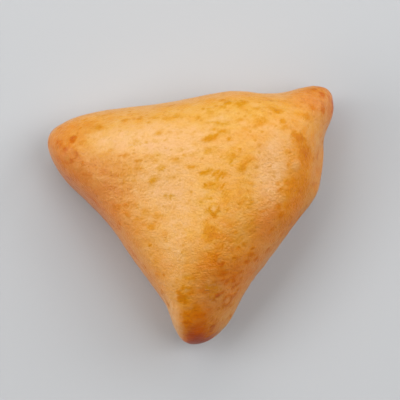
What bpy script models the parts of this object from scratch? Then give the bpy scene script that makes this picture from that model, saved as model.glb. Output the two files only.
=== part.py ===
"""A baked triangular piroshki: a filled bun of yeast dough, pinched to three corners and laid seam side down.

It is one closed, solid body of baked dough. The plan is a rounded triangle between four flanks, and the
section is a puffed cushion that rests flat on its base. Each corner is drawn out and pinched as the dough was
closed, and the crust swells and sinks in a few places.
Frame: metres, +Z up, origin at the middle of the base's bounding box, +X along the longest side of the plan.
"""

import math

import bmesh
import bpy
import numpy as np

# ---- driving dimensions, in metres and degrees ----
# A bearing runs anticlockwise from +X. Places are measured from the crown's axis, at the height of the base.

CROWN_HEIGHT = 0.041
BRIM_HEIGHT = 0.0105  # where the plan is widest
UNDERCUT_DEPTH = 0.0155  # the lower half's depth below the brim, of which the tray flattens the last part
BASE_EASE = 0.0016  # how softly the lower half turns into the flat base

# Each flank: the bearing that it faces, how far it stands from the crown's axis at the brim and at the top of
# the crown, and the superellipse exponent of its section.
FLANKS = {
    "back": {"faces": 102.0, "brim": 0.0345, "crown": 0.0360, "fullness": 2.4},
    "front_left": {"faces": 215.0, "brim": 0.0414, "crown": 0.0510, "fullness": 2.5},
    "front_right": {"faces": 320.0, "brim": 0.0371, "crown": 0.0365, "fullness": 2.9},
    "right": {"faces": 355.0, "brim": 0.0487, "crown": 0.0480, "fullness": 2.9},
}
BRIM_SHARPNESS = 5.4  # how tightly the flanks meet at the brim: 2 is round, 20 is a polygon
CROWN_SHARPNESS = 5.0  # the same at the top of the crown, where the ridges from the corners meet
CROWN_SHRINK = 3.0  # how quickly the plan turns from the brim's form to the crown's
CORNER_SLOPE = 0.3  # how much less full the section is over a corner
UNDERCUT_FULLNESS = 2.6

# Beyond a distance from the axis, and over the next stretch, each corner's dough is drawn out along its
# bearing, pinched narrower and thinner by a share, and bent sideways. A negative pinch leaves it blunter.
CORNERS = {
    "left": {
        "bearing": 149.0, "from": 0.025, "over": 0.024,
        "reach": 0.0056, "pinch": -0.04, "thin": 0.12, "bend": 0.0016,
    },
    "back_right": {
        "bearing": 42.0, "from": 0.0265, "over": 0.0243,
        "reach": -0.0029, "pinch": 0.2, "thin": 0.12, "bend": -0.0017,
    },
    "front": {
        "bearing": 286.5, "from": 0.0396, "over": 0.0203,
        "reach": 0.0080, "pinch": -0.36, "thin": 0.2, "bend": 0.0023,
    },
}

# Where the crust swells out around a line between two places, or sinks in where the rise is negative.
SWELLS = {
    "left_ridge": {
        "start": (-0.045, 0.014, 0.024), "end": (-0.023, 0.012, 0.034), "width": 0.008, "rise": 0.0006,
    },
    "right_ridge": {
        "start": (0.031, 0.014, 0.031), "end": (0.025, -0.012, 0.032), "width": 0.007, "rise": 0.0011,
    },
    "right_valley": {
        "start": (0.037, 0.020, 0.021), "end": (0.038, 0.005, 0.018), "width": 0.0065, "rise": -0.0016,
    },
    "right_brim": {
        "start": (0.045, 0.012, 0.010), "end": (0.042, -0.004, 0.010), "width": 0.008, "rise": 0.0018,
    },
    "right_notch": {
        "start": (0.0475, 0.019, 0.006), "end": (0.0445, 0.017, 0.015), "width": 0.0045, "rise": -0.0012,
    },
    "back_right_knob": {
        "start": (0.043, 0.033, 0.014), "end": (0.039, 0.029, 0.015), "width": 0.007, "rise": 0.0020,
    },
    "back_right_dip": {
        "start": (0.030, 0.027, 0.024), "end": (0.017, 0.021, 0.030), "width": 0.008, "rise": -0.0006,
    },
    "front_ridge": {
        "start": (-0.0105, -0.053, 0.024), "end": (-0.006, -0.027, 0.034), "width": 0.0075, "rise": 0.0024,
    },
    "front_hollow": {
        "start": (0.002, -0.050, 0.026), "end": (0.012, -0.028, 0.034), "width": 0.008, "rise": -0.0013,
    },
    "front_fold": {
        "start": (0.006, -0.047, 0.014), "end": (0.002, -0.041, 0.018), "width": 0.004, "rise": -0.0008,
    },
    "front_lobe": {
        "start": (0.007, -0.053, 0.009), "end": (0.001, -0.057, 0.010), "width": 0.006, "rise": 0.0018,
    },
}
FILLING_HEIGHT = 0.006  # the middle of the filling, which a swell points away from

CELLS_PER_SIDE = 31  # the mesh's fineness: 12 * cells * cells triangles
TURN_LENGTH = 0.015  # the length of brim that one radian of turn counts for, so corners get more cells
BRIM_STEPS = 720  # how finely the brim is measured to space those cells


def eased(t):
    """0 below 0, 1 above 1, and smooth in between."""
    t = np.clip(t, 0.0, 1.0)
    return t * t * (3.0 - 2.0 * t)


def plan_radius(bearing, level, sharpness):
    """How far the rounded polygon between the flanks reaches along a bearing, and each flank's share."""
    reaches = []
    for flank in FLANKS.values():
        facing = np.cos(bearing - math.radians(flank["faces"]))
        reaches.append(np.maximum(0.0, facing / flank[level]) ** sharpness)
    total = sum(reaches)
    return total ** (-1.0 / sharpness), [reach / total for reach in reaches]


def spaced_bearings(bearing):
    """Moves evenly spaced bearings closer together where the brim is far out or turns fast."""
    around = np.linspace(-math.pi, math.pi, BRIM_STEPS + 1)
    radius, _ = plan_radius(around, "brim", BRIM_SHARPNESS)
    step_x = np.diff(radius * np.cos(around))
    step_y = np.diff(radius * np.sin(around))
    heading = np.unwrap(np.arctan2(step_y, step_x))
    turn = np.abs(np.diff(heading, append=heading[0] + 2.0 * math.pi))
    travelled = np.concatenate(([0.0], np.cumsum(np.hypot(step_x, step_y) + TURN_LENGTH * turn)))
    return np.interp(bearing, travelled / travelled[-1] * 2.0 * math.pi - math.pi, around)


def cushion(directions):
    """The puffed triangular cushion, as points for unit directions from the middle of the brim."""
    level = np.hypot(directions[:, 0], directions[:, 1])
    bearing = spaced_bearings(np.arctan2(directions[:, 1], directions[:, 0]))
    above = directions[:, 2] >= 0.0
    brim, shares = plan_radius(bearing, "brim", BRIM_SHARPNESS)
    crown, _ = plan_radius(bearing, "crown", CROWN_SHARPNESS)
    fullness = sum(share * flank["fullness"] for share, flank in zip(shares, FLANKS.values()))
    cornerness = 2.0 * (1.0 - sum(share**2 for share in shares))
    power = 2.0 / np.where(above, fullness - CORNER_SLOPE * cornerness, UNDERCUT_FULLNESS)
    spread = level**power
    rise = np.abs(directions[:, 2]) ** power
    outness = spread**CROWN_SHRINK
    radius = spread * (outness * brim + (1.0 - outness) * crown)
    height = np.where(above, (CROWN_HEIGHT - BRIM_HEIGHT) * rise, -UNDERCUT_DEPTH * rise)
    return np.column_stack((radius * np.cos(bearing), radius * np.sin(bearing), BRIM_HEIGHT + height))


def draw_corner(points, corner):
    """Draws out, pinches, thins and bends the dough beyond one corner's start."""
    bearing = math.radians(corner["bearing"])
    along = np.array((math.cos(bearing), math.sin(bearing)))
    across = np.array((-along[1], along[0]))
    out = points[:, :2] @ along
    side = points[:, :2] @ across
    share = eased((out - corner["from"]) / corner["over"])
    out = out + corner["reach"] * share
    side = side * (1.0 - corner["pinch"] * share) + corner["bend"] * share
    height = points[:, 2] - corner["thin"] * share * np.maximum(0.0, points[:, 2] - BRIM_HEIGHT)
    return np.column_stack((np.outer(out, along) + np.outer(side, across), height))


def swelling(points, swell):
    """How far one swell moves each point: away from the filling, and less with the distance from its line."""
    start = np.array(swell["start"])
    line = np.array(swell["end"]) - start
    share = np.clip((points - start) @ line / (line @ line), 0.0, 1.0)
    distance = np.linalg.norm(points - start - np.outer(share, line), axis=1)
    outward = points - np.array((0.0, 0.0, FILLING_HEIGHT))
    outward /= np.linalg.norm(outward, axis=1, keepdims=True)
    return outward * (swell["rise"] * np.exp(-((distance / swell["width"]) ** 2)))[:, None]


def settle(points):
    """Presses the underside flat on the tray, easing into it at the edge."""
    height = points[:, 2]
    eased_height = (height + BASE_EASE) ** 2 / (4.0 * BASE_EASE)
    points[:, 2] = np.where(height > BASE_EASE, height, np.where(height < -BASE_EASE, 0.0, eased_height))
    return points


def centre(points):
    """Puts the middle of the plan's bounding box on the origin's axis."""
    middle = (points.min(axis=0) + points.max(axis=0)) / 2.0
    return points - (middle[0], middle[1], points[:, 2].min())


def baked_crust():
    """The material: matt golden crust."""
    material = bpy.data.materials.new("baked_crust")
    material.use_nodes = True
    shader = material.node_tree.nodes["Principled BSDF"]
    shader.inputs["Base Color"].default_value = (0.74, 0.34, 0.08, 1.0)
    shader.inputs["Roughness"].default_value = 0.42
    shader.inputs["Metallic"].default_value = 0.0
    return material


def make_piroshki(collection):
    """One solid, from a cube that is divided evenly, rounded to a ball and shaped to the cushion."""
    shape = bmesh.new()
    bmesh.ops.create_cube(shape, size=2.0)
    bmesh.ops.subdivide_edges(shape, edges=shape.edges[:], cuts=CELLS_PER_SIDE - 1, use_grid_fill=True)
    points = cushion(np.array([vertex.co.normalized() for vertex in shape.verts]))
    for corner in CORNERS.values():
        points = draw_corner(points, corner)
    points = points + sum(swelling(points, swell) for swell in SWELLS.values())
    for vertex, point in zip(shape.verts, centre(settle(points))):
        vertex.co = point
    bmesh.ops.recalc_face_normals(shape, faces=shape.faces[:])
    mesh = bpy.data.meshes.new("piroshki")
    shape.to_mesh(mesh)
    shape.free()
    mesh.shade_smooth()
    mesh.materials.append(baked_crust())
    collection.objects.link(bpy.data.objects.new("piroshki", mesh))


def main():
    for stale in list(bpy.data.objects):
        bpy.data.objects.remove(stale)
    collection = bpy.data.collections.new("triangular_piroshki")
    bpy.context.scene.collection.children.link(collection)
    make_piroshki(collection)


main()
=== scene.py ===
import math

import bmesh
import bpy
import numpy as np
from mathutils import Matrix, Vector, noise


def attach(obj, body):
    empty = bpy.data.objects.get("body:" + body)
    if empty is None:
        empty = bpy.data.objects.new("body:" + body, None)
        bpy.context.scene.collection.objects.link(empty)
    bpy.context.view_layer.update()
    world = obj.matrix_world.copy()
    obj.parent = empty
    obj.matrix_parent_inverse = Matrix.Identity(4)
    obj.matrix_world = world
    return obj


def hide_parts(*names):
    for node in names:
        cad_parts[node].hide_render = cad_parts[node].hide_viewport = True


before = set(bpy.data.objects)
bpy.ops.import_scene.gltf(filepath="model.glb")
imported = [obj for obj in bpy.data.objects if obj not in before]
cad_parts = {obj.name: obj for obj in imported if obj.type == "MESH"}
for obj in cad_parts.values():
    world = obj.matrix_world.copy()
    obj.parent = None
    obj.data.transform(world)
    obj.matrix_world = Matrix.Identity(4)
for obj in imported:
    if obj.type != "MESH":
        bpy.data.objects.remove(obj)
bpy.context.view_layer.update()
mm = 0.001

studio = {  # lengths in metres, with the sensor and the lens in mm
    "cameraAim": (0.0038, 0.0058, 0.0115),
    "cameraDistance": 0.7,
    "cameraBearing": -90.0,  # degrees, which is from the front
    "cameraElevation": 80.0,  # degrees above the table
    "cameraNearest": 0.01,
    "sensor": 36.0,
    "lens": 159.5,
    "lightDistance": 1.0,
    "skyColour": (0.97, 0.98, 1.0),
    "skyStrength": 0.02,
    "floorSize": 3.0,
    "floorColour": (0.488, 0.498, 0.510),
    "floorRoughness": 0.9,
    "floorSpecular": 0.2,
}
# The powers, in watts, started from a fit to the photo and were then changed.
softboxes = {
    "leftHigh": {"bearing": 150.0, "elevation": 54.0, "width": 0.7, "height": 0.6, "power": 3.6},
    "leftLow": {"bearing": 190.0, "elevation": 28.0, "width": 0.9, "height": 0.6, "power": 5.8},
    "rightHigh": {"bearing": 352.0, "elevation": 60.0, "width": 0.6, "height": 0.6, "power": 4.0},
    "rightLow": {"bearing": 25.0, "elevation": 30.0, "width": 0.8, "height": 0.6, "power": 4.6},
    "back": {"bearing": 90.0, "elevation": 36.0, "width": 0.8, "height": 0.5, "power": 3.7},
}


def addObject(name, data):
    thing = bpy.data.objects.new(name, data)
    bpy.context.scene.collection.objects.link(thing)
    return thing


def direction(bearing, elevation):
    around = math.radians(bearing)
    up = math.radians(elevation)
    return Vector((math.cos(around) * math.cos(up), math.sin(around) * math.cos(up), math.sin(up)))


def turnTowards(thing, backwards):
    thing.rotation_mode = "QUATERNION"
    thing.rotation_quaternion = backwards.to_track_quat("Z", "Y")


def makeCamera():
    lens = bpy.data.cameras.new("camera")
    lens.sensor_width = studio["sensor"]
    lens.lens = studio["lens"]
    lens.clip_start = studio["cameraNearest"]
    camera = addObject("camera", lens)
    backwards = direction(studio["cameraBearing"], studio["cameraElevation"])
    camera.location = Vector(studio["cameraAim"]) + backwards * studio["cameraDistance"]
    turnTowards(camera, backwards)
    bpy.context.scene.camera = camera


def makeSoftboxes():
    for name, box in softboxes.items():
        light = bpy.data.lights.new(name, "AREA")
        light.shape = "RECTANGLE"
        light.size = box["width"]
        light.size_y = box["height"]
        light.energy = box["power"]
        lamp = addObject(name, light)
        away = direction(box["bearing"], box["elevation"])
        lamp.location = away * studio["lightDistance"]
        turnTowards(lamp, away)
    sky = bpy.data.worlds.new("sky")
    sky.use_nodes = True
    background = sky.node_tree.nodes["Background"]
    background.inputs["Color"].default_value = (*studio["skyColour"], 1.0)
    background.inputs["Strength"].default_value = studio["skyStrength"]
    bpy.context.scene.world = sky
    bpy.context.scene.view_settings.view_transform = "Standard"


def makeFloor():
    bm = bmesh.new()
    bmesh.ops.create_grid(bm, x_segments=1, y_segments=1, size=studio["floorSize"])
    mesh = bpy.data.meshes.new("floor")
    bm.to_mesh(mesh)
    bm.free()
    paint = bpy.data.materials.new("paleFloor")
    paint.use_nodes = True
    shader = paint.node_tree.nodes["Principled BSDF"]
    shader.inputs["Base Color"].default_value = (*studio["floorColour"], 1.0)
    shader.inputs["Roughness"].default_value = studio["floorRoughness"]
    shader.inputs["Specular IOR Level"].default_value = studio["floorSpecular"]
    mesh.materials.append(paint)
    addObject("floor", mesh)


crustMesh = {
    "mergeDistance": 0.01,  # mm
    "joinAngle": 50.0,  # degrees: triangles closer to flat than this pair up into squares
    "subdivisions": 2,
}


def fineCopy(nodeName, pieceName):
    bm = bmesh.new()
    bm.from_mesh(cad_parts[nodeName].data)
    bmesh.ops.remove_doubles(bm, verts=bm.verts[:], dist=crustMesh["mergeDistance"] * mm)
    angle = math.radians(crustMesh["joinAngle"])
    bmesh.ops.join_triangles(bm, faces=bm.faces[:], angle_face_threshold=angle, angle_shape_threshold=angle)
    coarse = bpy.data.meshes.new(pieceName)
    bm.to_mesh(coarse)
    bm.free()
    piece = addObject(pieceName, coarse)
    rounding = piece.modifiers.new("rounding", "SUBSURF")
    rounding.levels = crustMesh["subdivisions"]
    rounding.render_levels = crustMesh["subdivisions"]
    fine = bpy.data.meshes.new_from_object(piece.evaluated_get(bpy.context.evaluated_depsgraph_get()))
    piece.modifiers.clear()
    piece.data = fine
    fine.materials.clear()
    fine.shade_smooth()
    return piece


def readVectors(collection, field):
    values = np.empty(len(collection) * 3)
    collection.foreach_get(field, values)
    return values.reshape(-1, 3)


def addLayer(mesh, name, values):
    layer = mesh.attributes.new(name, "FLOAT", "POINT")
    layer.data.foreach_set("value", values)


dough = {
    "seed": Vector((3.1, 7.7, 1.3)),
    "layers": [  # (size of the unevenness, height), both in mm
        (16.0, 0.34),
        (7.0, 0.17),
        (3.0, 0.085),
        (1.5, 0.05),
    ],
    "flatBelow": 0.4,  # the crust stays flat on the tray up to here, in mm
    "freeAbove": 2.5,  # and from here up it has its full unevenness
}


def noiseAt(points, size, offset):
    scale = 1.0 / (size * mm)
    return np.array([noise.noise(Vector(point) * scale + offset) for point in points])


def smoothStep(values, low, high):
    share = np.clip((values - low) / (high - low), 0.0, 1.0)
    return share * share * (3.0 - 2.0 * share)


def unevenHeight(points):
    height = np.zeros(len(points))
    for size, rise in dough["layers"]:
        height += noiseAt(points, size, dough["seed"] * size) * rise * mm
    return height


# Each zone is a soft ellipse seen from above: its middle and its half sizes in mm, its turn in degrees where
# it has one, how much deeper it is baked, how much pale bloom lies on it, and how much it is toasted. The
# bloom is partly painted highlight and the toast partly painted shade. The places and sizes are given one
# by one. The three amounts, and those in bakeBase, were fitted to the photo, so besides the crust's own
# colour they hold painted highlights where the softboxes' reflections fall and painted shade where the
# light falls off. The three amounts, and those in bakeBase, were fitted to the photo and written here by
# another script. Only knobRim, knobBackRim and frontTipEnd have amounts that were not fitted, and frontTip,
# frontTipRight and frontCornerLeft have some.
bakeZones = {
    "leftTip": {"at": (-50.0, 24.0), "half": (9.0, 11.0), "bake": 0.21, "bloomAndPaintedHighlight": 0.07, "toastAndPaintedShade": 0.62},
    "leftTipBand": {
        "at": (-34.0, 17.5), "half": (13.0, 4.0), "turn": -6.0, "bake": 0.05, "bloomAndPaintedHighlight": 0.08, "toastAndPaintedShade": 0.6,
    },
    "leftBackBand": {
        "at": (-37.0, 31.0), "half": (7.0, 3.5), "turn": 20.0, "bake": -0.08, "bloomAndPaintedHighlight": 0.07, "toastAndPaintedShade": 0.4,
    },
    "leftEdge": {
        "at": (-37.0, 4.0), "half": (20.0, 5.0), "turn": -42.0, "bake": 0.22, "bloomAndPaintedHighlight": -0.01, "toastAndPaintedShade": 0.25,
    },
    "leftLowerEdge": {
        "at": (-20.0, -22.0), "half": (18.0, 4.0), "turn": -56.0, "bake": 0.25, "bloomAndPaintedHighlight": 0.09, "toastAndPaintedShade": 0.0,
    },
    "leftFlank": {
        "at": (-29.0, 8.0), "half": (9.0, 5.0), "turn": -25.0, "bake": 0.1, "bloomAndPaintedHighlight": 0.18, "toastAndPaintedShade": 0.68,
    },
    # Where these zones carry much pale bloom, on the crown and the ridges, it is partly a painted highlight
    # laid where the softboxes' reflections fall.
    "leftHighlight": {
        "at": (-32.0, 23.5), "half": (10.0, 5.0), "turn": 5.0, "bake": -0.3, "bloomAndPaintedHighlight": 0.36, "toastAndPaintedShade": 0.03,
    },
    "middleHighlight": {
        "at": (-9.0, 22.0), "half": (14.0, 8.0), "turn": -8.0, "bake": -0.3, "bloomAndPaintedHighlight": 0.56, "toastAndPaintedShade": 0.14,
    },
    "centreHighlight": {
        "at": (-9.0, 5.0), "half": (9.0, 7.0), "turn": -15.0, "bake": -0.22, "bloomAndPaintedHighlight": 0.61, "toastAndPaintedShade": 0.19,
    },
    "frontHighlight": {
        "at": (-4.0, -13.0), "half": (5.0, 13.0), "turn": 6.0, "bake": -0.16, "bloomAndPaintedHighlight": 0.3, "toastAndPaintedShade": 0.21,
    },
    "frontVeilTip": {
        "at": (-9.0, -29.0), "half": (4.0, 10.0), "turn": -12.0, "bake": 0.06, "bloomAndPaintedHighlight": 0.0, "toastAndPaintedShade": 0.0,
    },
    "rightHighlight": {
        "at": (30.5, 12.0), "half": (4.0, 11.0), "turn": -4.0, "bake": -0.07, "bloomAndPaintedHighlight": 0.62, "toastAndPaintedShade": 0.19,
    },
    "rightVeilEnd": {
        "at": (29.0, -6.0), "half": (4.0, 7.0), "turn": -20.0, "bake": 0.24, "bloomAndPaintedHighlight": -0.09, "toastAndPaintedShade": 0.02,
    },
    "backEdge": {
        "at": (10.0, 37.0), "half": (34.0, 4.0), "turn": 5.0, "bake": -0.11, "bloomAndPaintedHighlight": -0.13, "toastAndPaintedShade": 0.09,
    },
    "backGold": {
        "at": (12.0, 32.0), "half": (11.0, 4.0), "turn": 10.0, "bake": -0.3, "bloomAndPaintedHighlight": 0.14, "toastAndPaintedShade": 0.15,
    },
    "middleGold": {"at": (20.0, 12.0), "half": (8.0, 13.0), "bake": -0.09, "bloomAndPaintedHighlight": 0.0, "toastAndPaintedShade": 0.19},
    "centreGold": {
        "at": (11.0, -12.0), "half": (7.0, 11.0), "turn": 10.0, "bake": 0.02, "bloomAndPaintedHighlight": -0.04, "toastAndPaintedShade": 0.27,
    },
    "frontGold": {"at": (7.0, -25.0), "half": (9.0, 6.0), "bake": 0.14, "bloomAndPaintedHighlight": -0.05, "toastAndPaintedShade": 0.32},
    "valley": {
        "at": (43.0, 20.0), "half": (5.0, 8.0), "turn": -6.0, "bake": 0.11, "bloomAndPaintedHighlight": 0.02, "toastAndPaintedShade": 0.17,
    },
    "lowerValley": {
        "at": (41.0, 3.0), "half": (5.0, 12.0), "turn": -12.0, "bake": 0.23, "bloomAndPaintedHighlight": -0.28, "toastAndPaintedShade": 0.0,
    },
    "rightRim": {
        "at": (51.0, 15.0), "half": (3.0, 12.0), "turn": -4.0, "bake": 0.13, "bloomAndPaintedHighlight": -0.02, "toastAndPaintedShade": 0.0,
    },
    "lowerRightFlank": {
        "at": (22.0, -24.0), "half": (7.0, 20.0), "turn": -38.0, "bake": 0.25, "bloomAndPaintedHighlight": 0.01, "toastAndPaintedShade": 0.2,
    },
    "knobTip": {
        "at": (54.0, 38.0), "half": (5.0, 9.0), "turn": -15.0, "bake": 0.17, "bloomAndPaintedHighlight": 0.22, "toastAndPaintedShade": 0.27,
    },
    "knob": {"at": (48.0, 43.0), "half": (8.0, 4.0), "bake": 0.25, "bloomAndPaintedHighlight": 0.28, "toastAndPaintedShade": 0.55},
    # Painted shade: the next zone darkens the knob's steep right rim, which turns away from the light.
    "knobRim": {
        "at": (57.0, 40.5), "half": (2.0, 7.0), "turn": -8.0, "bake": 0.25, "bloomAndPaintedHighlight": -0.25, "toastAndPaintedShade": 0.9,
    },
    "knobBackRim": {
        "at": (52.0, 50.5), "half": (7.0, 1.4), "turn": -8.0, "bake": 0.12, "bloomAndPaintedHighlight": -0.1, "toastAndPaintedShade": 0.5,
    },
    "knobTop": {
        "at": (49.0, 48.0), "half": (7.0, 2.5), "turn": 5.0, "bake": -0.06, "bloomAndPaintedHighlight": -0.24, "toastAndPaintedShade": 0.55,
    },
    "centreStrip": {
        "at": (6.0, 0.0), "half": (3.5, 9.0), "turn": -10.0, "bake": -0.2, "bloomAndPaintedHighlight": 0.09, "toastAndPaintedShade": 0.03,
    },
    "leftRim": {
        "at": (-47.0, 8.0), "half": (14.0, 3.0), "turn": -42.0, "bake": 0.3, "bloomAndPaintedHighlight": 0.28, "toastAndPaintedShade": 0.69,
    },
    # The front tip's zones are partly its deeper bake and partly painted shade, where the tip turns down away
    # from the light.
    "frontTip": {"at": (2.0, -49.0), "half": (4.0, 6.0), "bake": 0.18, "bloomAndPaintedHighlight": -0.45, "toastAndPaintedShade": 0.4},
    "frontTipEnd": {"at": (3.5, -54.0), "half": (6.5, 4.0), "bake": 0.45, "bloomAndPaintedHighlight": -0.4, "toastAndPaintedShade": 0.9},
    "foldShade": {"at": (8.5, -33.0), "half": (4.5, 4.0), "bake": 0.01, "bloomAndPaintedHighlight": 0.47, "toastAndPaintedShade": 0.8},
    "frontTipRight": {"at": (9.0, -45.0), "half": (3.5, 5.0), "bake": -0.05, "bloomAndPaintedHighlight": 0.12, "toastAndPaintedShade": 0.5},
    "frontCorner": {"at": (4.0, -42.0), "half": (7.0, 11.0), "bake": 0.2, "bloomAndPaintedHighlight": -0.1, "toastAndPaintedShade": 0.0},
    "frontCornerLeft": {"at": (-7.0, -46.0), "half": (4.0, 9.0), "bake": 0.0, "bloomAndPaintedHighlight": 0.38, "toastAndPaintedShade": 0.0},
}
bakeBase = {"toastAndPaintedShade": 0.04, "bake": 0.4, "bloomAndPaintedHighlight": 0.17}
trayBake = {  # next to the tray, with heights in mm
    "toastAndPaintedShade": 0.30,
    "bake": 0.60,
    "bloomAndPaintedHighlight": 0.05,
    "fullBelow": 1.0,
    "noneAbove": 6.0,
}
# darker and redder in a band around the brim's height, where the sides turn steep
brimBand = {"height": 9.0, "spread": 6.0, "bake": 0.06}  # heights in mm
zoneFade = 0.7  # how quickly a zone fades outwards


def zoneShare(points, zone):
    turn = math.radians(zone.get("turn", 0.0))
    x = points[:, 0] / mm - zone["at"][0]
    y = points[:, 1] / mm - zone["at"][1]
    along = (x * math.cos(turn) + y * math.sin(turn)) / zone["half"][0]
    across = (y * math.cos(turn) - x * math.sin(turn)) / zone["half"][1]
    return np.exp(-(along**2 + across**2) * zoneFade)


def bakedAmount(points, key):
    amount = np.full(len(points), bakeBase[key])
    for zone in bakeZones.values():
        amount += zoneShare(points, zone) * zone[key]
    height = points[:, 2] / mm
    if key == "bake":
        amount += brimBand["bake"] * np.exp(-(((height - brimBand["height"]) / brimBand["spread"]) ** 2))
    tray = 1.0 - smoothStep(height, trayBake["fullBelow"], trayBake["noneAbove"])
    return amount * (1.0 - tray) + trayBake[key] * tray
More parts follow.
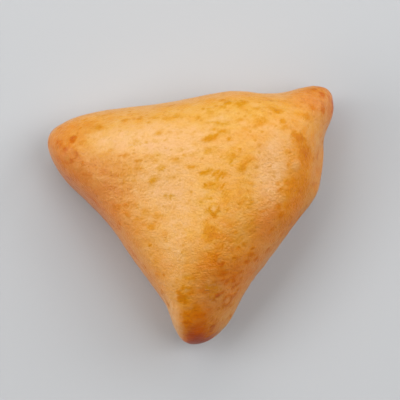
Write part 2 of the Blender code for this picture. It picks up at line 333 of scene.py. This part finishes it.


# Each blister: its place from above and its half sizes in mm, its turn in degrees where it has one, its
# height in mm where it has one (a pit is negative), how much darker it is baked, and whether it is a ring
# with a sunk middle. The places come from other scripts: more than half were read off a list of where the
# photo and a render differ, and the others were picked in the photo by eye and turned into mm. Some were
# then moved. The rest is given one by one.
blisters = {
    "leftTipDark": {"at": (-45.1, 26.5), "half": (1.5, 1.5), "rise": 0.14, "bake": 0.38},
    "leftTipRed": {"at": (-43.8, 20.2), "half": (1.6, 1.6), "rise": 0.1, "bake": 0.14},
    "leftTipSmall": {"at": (-50.2, 25.4), "half": (1.2, 1.7), "rise": 0.08, "bake": 0.12},
    "leftBack": {"at": (-35.3, 30.6), "half": (1.6, 1.4), "turn": 10.0, "rise": 0.14, "bake": 0.14},
    "veilSpot": {"at": (-20.3, 23.5), "half": (2.0, 1.3), "turn": -20.0, "rise": -0.06, "bake": 0.14},
    "crownLeft": {"at": (-15.3, 16.9), "half": (2.4, 1.3), "turn": 10.0, "rise": 0.1, "bake": 0.12},
    "crownLeftDark": {"at": (-11.0, 13.3), "half": (1.9, 1.6), "rise": 0.1, "bake": 0.26},
    "crownMiddle": {"at": (-5.0, 16.1), "half": (4.0, 1.7), "turn": 8.0, "rise": 0.12, "bake": 0.12},
    "crownStreak": {"at": (7.5, 25.0), "half": (2.8, 1.4), "turn": 22.0, "rise": 0.16, "bake": 0.28},
    "crownStreakEnd": {"at": (12.0, 27.0), "half": (2.4, 1.0), "turn": 12.0, "rise": 0.12, "bake": 0.2},
    "goldPatch": {"at": (16.0, 17.4), "half": (3.8, 2.2), "turn": 20.0, "rise": 0.14, "bake": 0.13},
    "goldPatchRight": {"at": (19.7, 13.0), "half": (1.7, 1.6), "rise": 0.16, "bake": 0.24},
    "backRight": {"at": (27.5, 31.7), "half": (2.8, 2.0), "turn": 10.0, "rise": 0.16, "bake": 0.15},
    "backMiddle": {"at": (19.9, 39.6), "half": (2.4, 1.6), "turn": 10.0, "rise": 0.12, "bake": 0.25},
    "backKnob": {"at": (32.4, 37.2), "half": (2.2, 1.3), "turn": -20.0, "rise": 0.12, "bake": 0.16},
    "valleyTop": {"at": (42.0, 25.9), "half": (2.0, 1.8), "turn": 20.0, "rise": 0.14, "bake": 0.32},
    "valleyMiddle": {"at": (44.6, 20.3), "half": (4.4, 4.1), "rise": -0.12, "bake": 0.18},
    "valleyBump": {"at": (40.5, 15.2), "half": (2.2, 2.2), "rise": 0.22, "bake": -0.14},
    "centreStreak": {"at": (5.9, 10.9), "half": (2.3, 1.0), "turn": 12.0, "rise": 0.14, "bake": 0.32},
    "centreStreakRight": {"at": (11.8, 10.1), "half": (2.0, 1.0), "turn": -8.0, "rise": 0.14, "bake": 0.3},
    "centreDark": {"at": (6.0, 6.3), "half": (1.0, 1.1), "rise": 0.1, "bake": 0.28},
    "ring": {"at": (9.0, -2.7), "half": (1.5, 1.7), "rise": 0.26, "bake": 0.22, "ring": True},
    "ringMiddle": {"at": (9.0, -2.5), "half": (0.9, 0.9), "rise": 0.12, "bake": -0.14},
    "plateauSpeckled": {"at": (20.8, 0.8), "half": (3.8, 3.4), "rise": 0.1, "bake": 0.08},
    "leftOfCentre": {"at": (-14.5, 8.5), "half": (1.4, 1.3), "rise": 0.1, "bake": 0.18},
    "leftOfCentreLow": {"at": (-8.7, 2.3), "half": (2.2, 1.3), "turn": -30.0, "rise": 0.08, "bake": 0.16},
    "leftFlankSpot": {"at": (-16.4, -3.5), "half": (1.8, 1.3), "turn": -40.0, "rise": 0.08, "bake": 0.1},
    "goldPatchLow": {"at": (7.5, -11.2), "half": (2.8, 2.6), "rise": 0.1, "bake": 0.18},
    "lowerRightPatch": {"at": (12.2, -26.3), "half": (3.4, 1.8), "turn": -8.0, "rise": -0.08, "bake": 0.12},
    "lowerRightPatchHigh": {
        "at": (21.7, -20.4), "half": (5.5, 1.8), "turn": 5.0, "rise": -0.06, "bake": 0.04,
    },
    "frontDark": {"at": (-2.6, -35.6), "half": (1.6, 1.5), "turn": 8.0, "rise": -0.06, "bake": 0.3},
    "foldRing": {
        "at": (14.1, -35.9), "half": (1.8, 2.1), "turn": -20.0, "rise": 0.11, "bake": 0.16, "ring": True,
    },
    "frontStreak": {"at": (2.4, -40.2), "half": (1.6, 3.2), "rise": -0.08, "bake": 0.09},
    "frontSpots": {"at": (9.2, -44.9), "half": (1.4, 1.2), "rise": 0.12, "bake": 0.22},
    "lobeDark": {"at": (8.9, -49.2), "half": (3.2, 2.0), "turn": 30.0, "rise": -0.06, "bake": 0.4},
    "knobDark": {"at": (51.6, 39.1), "half": (1.6, 2.6), "rise": 0.1, "bake": 0.2},
    "frontSpotLow": {"at": (8.2, -46.6), "half": (1.1, 1.2), "rise": 0.08, "bake": 0.2},
    "foldSpot": {"at": (10.5, -34.3), "half": (1.4, 1.1), "turn": 20.0, "rise": 0.1, "bake": 0.26},
    "foldSpotHigh": {"at": (12.8, -33.0), "half": (1.2, 0.9), "rise": 0.08, "bake": 0.14},
    "foldEnd": {"at": (16.0, -40.5), "half": (1.3, 0.8), "turn": 60.0, "rise": -0.4, "bake": 0.3},
    "knobTopSpot": {"at": (48.4, 48.0), "half": (1.3, 0.9), "rise": 0.06, "bake": 0.22},
    "knobCornerSpot": {"at": (51.9, 45.7), "half": (1.8, 1.2), "turn": -35.0, "rise": 0.08, "bake": 0.22},
    "knobCheek": {"at": (57.0, 38.5), "half": (5.0, 5.0), "rise": 0.7, "bake": 0.0},
    "frontTipSpot": {"at": (-1.0, -44.3), "half": (1.4, 1.2), "rise": 0.06, "bake": 0.2},
    "frontEndSpot": {"at": (0.1, -48.4), "half": (1.5, 1.3), "rise": -0.05, "bake": 0.12},
    "foldRingSpot": {"at": (14.4, -37.6), "half": (1.3, 1.2), "rise": -0.05, "bake": 0.12},
    "backRightSpot": {"at": (35.2, 31.8), "half": (1.3, 1.1), "turn": 20.0, "rise": 0.08, "bake": 0.24},
    "crownLeftSpot": {"at": (-12.4, 26.8), "half": (1.4, 1.1), "rise": 0.08, "bake": 0.2},
    "leftFreckle": {"at": (-21.6, 9.2), "half": (1.4, 1.1), "turn": -20.0, "rise": 0.06, "bake": 0.17},
    "veilEndSpot": {"at": (36.8, 8.7), "half": (1.4, 1.2), "rise": 0.06, "bake": 0.15},
    "ringFoot": {"at": (9.4, -5.2), "half": (1.4, 1.0), "rise": 0.05, "bake": 0.18},
    "leftFreckleHigh": {"at": (-22.8, 11.8), "half": (1.3, 1.0), "turn": -20.0, "rise": 0.05, "bake": 0.12},
    "leftFlankFreckle": {"at": (-20.3, -0.8), "half": (1.3, 1.1), "turn": -30.0, "rise": 0.06, "bake": 0.15},
    "leftFlankFreckleLow": {
        "at": (-23.9, -3.8), "half": (1.4, 1.1), "turn": -40.0, "rise": 0.06, "bake": 0.16,
    },
    "leftTipLow": {"at": (-45.4, 18.4), "half": (1.6, 1.2), "rise": 0.06, "bake": 0.16},
    "leftTipEdge": {"at": (-51.6, 26.0), "half": (1.1, 1.0), "rise": 0.05, "bake": 0.14},
    "leftTipMiddle": {"at": (-48.6, 22.4), "half": (1.2, 1.0), "rise": 0.05, "bake": 0.12},
    "leftTipRight": {"at": (-42.0, 16.8), "half": (1.0, 0.9), "rise": 0.05, "bake": 0.14},
    "frontDarkHigh": {"at": (-4.4, -33.6), "half": (1.2, 1.0), "rise": -0.04, "bake": 0.18},
    "frontFreckle": {"at": (-0.9, -28.3), "half": (1.4, 1.0), "rise": 0.05, "bake": 0.14},
    "backSpot": {"at": (7.1, 35.7), "half": (1.6, 1.0), "turn": 10.0, "rise": 0.06, "bake": 0.14},
    "crownSpot": {"at": (5.9, 19.4), "half": (1.4, 1.0), "turn": 15.0, "rise": 0.06, "bake": 0.15},
    "veilFreckle": {"at": (-3.2, 20.6), "half": (1.3, 1.0), "rise": 0.05, "bake": 0.15},
    "crownFreckle": {"at": (-0.9, 13.5), "half": (1.4, 1.0), "rise": 0.05, "bake": 0.14},
    "rightVeilFreckle": {"at": (36.8, 19.9), "half": (1.3, 1.1), "rise": 0.05, "bake": 0.14},
    "ridgeFreckle": {"at": (25.3, 14.9), "half": (1.3, 1.0), "rise": 0.05, "bake": 0.12},
    "lowerRightSpot": {"at": (18.6, -31.3), "half": (1.4, 1.0), "rise": 0.06, "bake": 0.14},
    "lowerRightSpotHigh": {"at": (19.7, -24.9), "half": (1.5, 1.0), "turn": 10.0, "rise": 0.05, "bake": 0.13},
    # pale marks lie flat, and their negative bake makes them lighter
    "paleFrontLeft": {"at": (-6.0, -35.7), "half": (1.4, 1.3), "bake": -0.14},
    "paleFrontHigh": {"at": (-0.9, -32.4), "half": (1.4, 1.2), "bake": -0.14},
    "paleCentreHigh": {"at": (8.2, 2.0), "half": (1.4, 1.2), "bake": -0.16},
    "paleGold": {"at": (18.4, 19.3), "half": (1.4, 1.2), "bake": -0.12},
    "paleFrontVeil": {"at": (-0.9, -15.1), "half": (1.4, 1.2), "bake": -0.12},
    "paleLeftTip": {"at": (-47.4, 18.3), "half": (1.5, 1.3), "bake": -0.15},
    "paleLeftTipLow": {"at": (-43.8, 14.5), "half": (1.5, 1.3), "bake": -0.12},
    "paleCentre": {"at": (12.7, -9.3), "half": (1.4, 1.3), "bake": -0.14},
    "paleCrownHigh": {"at": (-6.7, 26.8), "half": (1.5, 1.2), "bake": -0.14},
    "paleCrown": {"at": (-1.9, 17.6), "half": (1.5, 1.3), "bake": -0.26},
    "paleVeil": {"at": (36.8, 14.3), "half": (1.5, 1.4), "bake": -0.16},
    "paleRidge": {"at": (24.1, 6.8), "half": (1.5, 1.3), "bake": -0.18},
    "paleRidgeEnd": {"at": (27.6, -3.1), "half": (1.5, 1.3), "bake": -0.16},
    "paleFlank": {"at": (-15.8, -8.8), "half": (1.5, 1.3), "bake": -0.16},
    "paleLeft": {"at": (-26.2, 18.8), "half": (1.5, 1.2), "bake": -0.13},
    "paleBack": {"at": (19.7, 31.5), "half": (1.5, 1.2), "bake": -0.12},
    "paleFront": {"at": (-2.1, -41.1), "half": (1.5, 1.3), "bake": -0.12},
    "paleFold": {"at": (7.0, -32.4), "half": (1.5, 1.3), "bake": -0.1},
    "paleLowerFlank": {"at": (10.8, -21.3), "half": (1.5, 1.3), "bake": -0.24},
}
smallBlisters = {
    "seed": 41,
    "top": 420,  # how many are drawn over the plan
    "sides": 260,  # how many are drawn on the steeper sides
    "half": (0.45, 1.35),  # mm
    "stretch": (1.0, 2.1),
    "turn": (-22.0, 28.0),  # degrees
    "rise": (-0.07, 0.12),  # mm
    "bake": (0.04, 0.24),
    "fullBakeUpTo": 0.9,  # half size in mm, above which they are baked less dark
    "nearEnough": 1.0,  # mm: one drawn further than this from the crust is left out
}
blisterReach = 2.6  # how many half sizes from its middle a blister is worked out to
ringShape = {"rimWidth": 0.45, "dip": 0.35, "dipWidth": 0.5}  # shares of the half size, and of the height
crustSides = {
    "topUpright": 0.15,  # the top is where a normal points up more than this
    "sideUpright": 0.3,  # a side is where it points up no more than this
    "sideFrom": 2.0,  # mm above the tray
}


def blisterProfile(distance, ring):
    if ring:
        rim = np.exp(-(((distance - 1.0) / ringShape["rimWidth"]) ** 2))
        return rim - ringShape["dip"] * np.exp(-((distance / ringShape["dipWidth"]) ** 2))
    return np.exp(-(distance**3))


def pressBlister(points, normals, centre, blister, height, bake):
    half = np.array(blister["half"]) * mm
    reach = half.max() * blisterReach
    near = np.flatnonzero(((points - points[centre]) ** 2).sum(axis=1) < reach**2)
    outward = Vector(normals[centre])
    turn = math.radians(blister.get("turn", 0.0))
    wanted = Vector((math.cos(turn), math.sin(turn), 0.0))
    along = (wanted - outward * wanted.dot(outward)).normalized()
    across = outward.cross(along)
    offset = points[near] - points[centre]
    distance = np.hypot(offset @ np.array(along) / half[0], offset @ np.array(across) / half[1])
    share = blisterProfile(distance, blister.get("ring", False))
    height[near] += share * blister.get("rise", 0.0) * mm
    bake[near] += share * blister["bake"]


def randomBlister(draw):
    size = draw.uniform(*smallBlisters["half"])
    return {
        "half": (size * draw.uniform(*smallBlisters["stretch"]), size),
        "turn": draw.uniform(*smallBlisters["turn"]),
        "rise": draw.uniform(*smallBlisters["rise"]),
        "bake": draw.uniform(*smallBlisters["bake"]) * min(1.0, smallBlisters["fullBakeUpTo"] / size),
    }


def pressBlisters(points, normals):
    height = np.zeros(len(points))
    bake = np.zeros(len(points))
    upright = normals[:, 2]
    above = np.flatnonzero(upright > crustSides["topUpright"])
    clear = points[:, 2] > crustSides["sideFrom"] * mm
    beside = np.flatnonzero((upright <= crustSides["sideUpright"]) & clear)

    def topPoint(x, y):
        apart = (points[above, 0] - x) ** 2 + (points[above, 1] - y) ** 2
        nearest = apart.argmin()
        return above[nearest], math.sqrt(apart[nearest])

    for blister in blisters.values():
        centre, _ = topPoint(blister["at"][0] * mm, blister["at"][1] * mm)
        pressBlister(points, normals, centre, blister, height, bake)
    draw = np.random.default_rng(smallBlisters["seed"])
    low, high = points.min(axis=0), points.max(axis=0)
    for _ in range(smallBlisters["top"]):
        centre, apart = topPoint(draw.uniform(low[0], high[0]), draw.uniform(low[1], high[1]))
        blister = randomBlister(draw)
        if apart < smallBlisters["nearEnough"] * mm:
            pressBlister(points, normals, centre, blister, height, bake)
    for _ in range(smallBlisters["sides"]):
        pressBlister(points, normals, draw.choice(beside), randomBlister(draw), height, bake)
    return height, bake


crustLook = {
    # how the crust browns: (amount of bake, colour)
    "browning": [
        (0.00, (0.73, 0.425, 0.110)),
        (0.25, (0.73, 0.365, 0.052)),
        (0.50, (0.73, 0.285, 0.014)),
        (0.70, (0.72, 0.210, 0.005)),
        (0.86, (0.67, 0.135, 0.002)),
        (1.00, (0.54, 0.085, 0.001)),
    ],
    # the pale colour of the crust's bloom and of its painted highlights
    "bloomAndHighlightColour": (0.77, 0.425, 0.19),
    # toasting and painted shade: what they leave of the colour below
    "toastAndShadeColour": (0.82, 0.60, 0.0),  # what toasting leaves of the colour below it
    "freckleColour": (0.84, 0.70, 0.0),  # the same for a freckle or a blister
    "brokenness": 2.0,  # how far the mottle breaks up the blisters and the toasting
    "unevenness": 1.5,  # how uneven unbaked crust is, which falls to none where the bake is full
    # each of these follows another value: (that value's range, what it gives)
    "specular": ((0.0, 0.6), (0.13, 0.52)),
    "sheen": ((0.0, 0.4), (0.0, 0.15)),
    "roughness": ((-0.2, 0.2), (0.28, 0.38)),
    "sheenRoughness": 0.5,
    "sheenTint": (1.0, 0.75, 0.5),
    "noiseRoughness": 0.55,
    "reliefDepth": 0.3,  # mm
}
# Soft patterns: the size in mm, and how they are stretched, turned in degrees and moved.
crustNoise = {
    "broad": {"size": 14.0},
    "patches": {"size": 5.0, "detail": 4.0, "stretch": (0.75, 1.15, 1.0), "turn": 12.0},
    "mottle": {"size": 2.4, "detail": 3.0, "stretch": (0.8, 1.1, 1.0), "turn": 10.0, "offset": 0.03},
    "grain": {"size": 0.9, "offset": 0.07},
    "pale": {"size": 3.4, "detail": 3.0, "stretch": (0.8, 1.1, 1.0), "turn": 10.0, "offset": 0.11},
}
# Scattered flecks: the cells' size in mm, the share that shows, and the outer and inner edge of a fleck.
crustFlecks = {
    "flecks": {"size": 4.2, "stretch": (0.6, 1.1, 1.0), "turn": 12.0, "share": 0.5, "edge": (0.34, 0.10)},
    "specks": {"size": 1.9, "stretch": (0.8, 1.05, 1.0), "turn": 6.0, "share": 0.6, "edge": (0.45, 0.15)},
}
# What each mix is made of, and how strongly.
crustMixes = {
    "uneven": {"broad": 0.13, "patches": 0.36, "mottle": 0.20},
    "cloudy": {"pale": 0.9, "patches": -0.8},
    "browned": {"bake": 1.0, "uneven": 1.0, "spots": 0.2},
    "hazeAndPaintedHighlight": {"bloomAndPaintedHighlight": 1.0, "cloudy": 1.0, "spots": -1.6},
    "freckled": {"spots": 4.1, "flecks": 0.5, "specks": 0.65, "patches": 0.4, "grain": 1.3},
    "rough": {"patches": 0.6, "grain": 0.8},
    "shine": {"bloomAndPaintedHighlight": 1.0, "spots": -1.6},
    "relief": {"pale": 0.7, "grain": 1.35, "specks": -0.15},
}
colourSockets = {"amount": 0, "first": 6, "second": 7, "result": 2}  # of a Mix node


def addNode(tree, kind, settings=(), **inputs):
    node = tree.nodes.new(kind)
    for name, value in dict(settings).items():
        setattr(node, name, value)
    for name, value in inputs.items():
        node.inputs[name.replace("_", " ")].default_value = value
    return node


def addMath(tree, operation, first, second):
    node = addNode(tree, "ShaderNodeMath", {"operation": operation})
    for socket, value in zip(node.inputs, (first, second)):
        if isinstance(value, float):
            socket.default_value = value
        else:
            tree.links.new(value, socket)
    return node.outputs["Value"]


def addPlace(tree, place, stretch, turn, offset):
    mapping = addNode(tree, "ShaderNodeMapping", Scale=stretch, Rotation=(0.0, 0.0, math.radians(turn)))
    mapping.inputs["Location"].default_value = (offset, offset, offset)
    tree.links.new(place, mapping.inputs["Vector"])
    return mapping.outputs["Vector"]


def addNoise(tree, place, size, detail=2.0, stretch=(1.0, 1.0, 1.0), turn=0.0, offset=0.0):
    cloud = addNode(tree, "ShaderNodeTexNoise", Scale=1.0 / (size * mm), Detail=detail)
    cloud.inputs["Roughness"].default_value = crustLook["noiseRoughness"]
    tree.links.new(addPlace(tree, place, stretch, turn, offset), cloud.inputs["Vector"])
    return addMath(tree, "SUBTRACT", cloud.outputs["Fac"], 0.5)  # even about nought


def addRange(tree, value, before, after=(0.0, 1.0), kind="LINEAR"):
    node = addNode(tree, "ShaderNodeMapRange", {"interpolation_type": kind})
    for name, limit in zip(("From Min", "From Max", "To Min", "To Max"), (*before, *after)):
        node.inputs[name].default_value = limit
    tree.links.new(value, node.inputs["Value"])
    return node.outputs["Result"]


def addFlecks(tree, place, size, stretch, turn, share, edge):
    cells = addNode(tree, "ShaderNodeTexVoronoi", Scale=1.0 / (size * mm))
    tree.links.new(addPlace(tree, place, stretch, turn, size), cells.inputs["Vector"])
    fleck = addRange(tree, cells.outputs["Distance"], edge, kind="SMOOTHSTEP")
    chance = addNode(tree, "ShaderNodeSeparateColor")
    tree.links.new(cells.outputs["Color"], chance.inputs["Color"])
    chosen = addRange(tree, chance.outputs["Red"], (1.0 - share, 1.0))
    return addMath(tree, "MULTIPLY", fleck, chosen)


def addColour(tree, blend, first, second, amount):
    node = addNode(tree, "ShaderNodeMix", {"data_type": "RGBA", "blend_type": blend})
    node.clamp_factor = True
    tree.links.new(amount, node.inputs[colourSockets["amount"]])
    tree.links.new(first, node.inputs[colourSockets["first"]])
    node.inputs[colourSockets["second"]].default_value = (*second, 1.0)
    return node.outputs[colourSockets["result"]]


def addMix(tree, parts, name):
    total = None
    for part, weight in crustMixes[name].items():
        term = addMath(tree, "MULTIPLY", parts[part], weight)
        total = term if total is None else addMath(tree, "ADD", total, term)
    return total


def addBrowning(tree, amount):
    ramp = addNode(tree, "ShaderNodeValToRGB")
    stops = ramp.color_ramp.elements
    for index, (position, colour) in enumerate(crustLook["browning"]):
        stop = stops[index] if index < len(stops) else stops.new(position)
        stop.position = position
        stop.color = (*colour, 1.0)
    tree.links.new(amount, ramp.inputs["Fac"])
    return ramp.outputs["Color"]


def bakedCrust():
    material = bpy.data.materials.new("bakedCrust")
    material.use_nodes = True
    tree = material.node_tree
    shader = tree.nodes["Principled BSDF"]
    place = addNode(tree, "ShaderNodeTexCoord").outputs["Object"]
    parts = {}
    for name in ("bake", "spots", "bloomAndPaintedHighlight", "toastAndPaintedShade"):
        parts[name] = addNode(tree, "ShaderNodeAttribute", {"attribute_name": name}).outputs["Fac"]
    for name, pattern in crustNoise.items():
        parts[name] = addNoise(tree, place, **pattern)
    for name, pattern in crustFlecks.items():
        parts[name] = addFlecks(tree, place, **pattern)

    # the mottle breaks up the blisters and the toasting with its painted shade, and deeper baked crust is
    # more even
    broken = addMath(tree, "ADD", addMath(tree, "MULTIPLY", parts["mottle"], crustLook["brokenness"]), 1.0)
    for name in ("spots", "toastAndPaintedShade"):
        parts[name] = addMath(tree, "MULTIPLY", parts[name], broken)
    evened = addMath(tree, "MULTIPLY", parts["bake"], crustLook["unevenness"])
    unevenness = addMath(tree, "SUBTRACT", crustLook["unevenness"], evened)
    for name in ("uneven", "cloudy"):
        parts[name] = addMath(tree, "MULTIPLY", addMix(tree, parts, name), unevenness)

    colour = addBrowning(tree, addMix(tree, parts, "browned"))
    # painted highlight and pale haze: the bloom colour is mixed in over the browned crust
    colour = addColour(tree, "MIX", colour, crustLook["bloomAndHighlightColour"], addMix(tree, parts, "hazeAndPaintedHighlight"))
    # toasting, partly painted shade: darker where the crust is toasted and where the light falls off
    colour = addColour(tree, "MULTIPLY", colour, crustLook["toastAndShadeColour"], parts["toastAndPaintedShade"])
    colour = addColour(tree, "MULTIPLY", colour, crustLook["freckleColour"], addMix(tree, parts, "freckled"))
    tree.links.new(colour, shader.inputs["Base Color"])

    roughness = addRange(tree, addMix(tree, parts, "rough"), *crustLook["roughness"])
    tree.links.new(roughness, shader.inputs["Roughness"])
    specular = addRange(tree, addMix(tree, parts, "shine"), *crustLook["specular"])
    tree.links.new(specular, shader.inputs["Specular IOR Level"])
    sheen = addRange(tree, parts["bloomAndPaintedHighlight"], *crustLook["sheen"])
    tree.links.new(sheen, shader.inputs["Sheen Weight"])
    shader.inputs["Sheen Roughness"].default_value = crustLook["sheenRoughness"]
    shader.inputs["Sheen Tint"].default_value = (*crustLook["sheenTint"], 1.0)

    bump = addNode(tree, "ShaderNodeBump", Strength=1.0, Distance=crustLook["reliefDepth"] * mm)
    tree.links.new(addMix(tree, parts, "relief"), bump.inputs["Height"])
    tree.links.new(bump.outputs["Normal"], shader.inputs["Normal"])
    return material


def makeCrust():
    crust = fineCopy("piroshki", "crust")
    mesh = crust.data
    points = readVectors(mesh.vertices, "co")
    normals = readVectors(mesh.vertices, "normal")
    print("crust vertices", len(points), "faces", len(mesh.polygons))
    blisterHeight, blisterBake = pressBlisters(points, normals)
    free = smoothStep(points[:, 2], dough["flatBelow"] * mm, dough["freeAbove"] * mm)
    moved = points + normals * ((unevenHeight(points) + blisterHeight) * free)[:, None]
    moved[:, 2] = np.maximum(moved[:, 2], 0.0)
    mesh.vertices.foreach_set("co", moved.ravel())
    addLayer(mesh, "bake", bakedAmount(points, "bake"))
    addLayer(mesh, "bloomAndPaintedHighlight", np.clip(bakedAmount(points, "bloomAndPaintedHighlight"), 0.0, 1.0))
    addLayer(mesh, "toastAndPaintedShade", bakedAmount(points, "toastAndPaintedShade"))
    addLayer(mesh, "spots", blisterBake)
    mesh.materials.append(bakedCrust())
    mesh.update()
    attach(crust, "root")
    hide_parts("piroshki")


makeCamera()
makeSoftboxes()
makeFloor()
print("studio ready")
makeCrust()
print("crust ready")
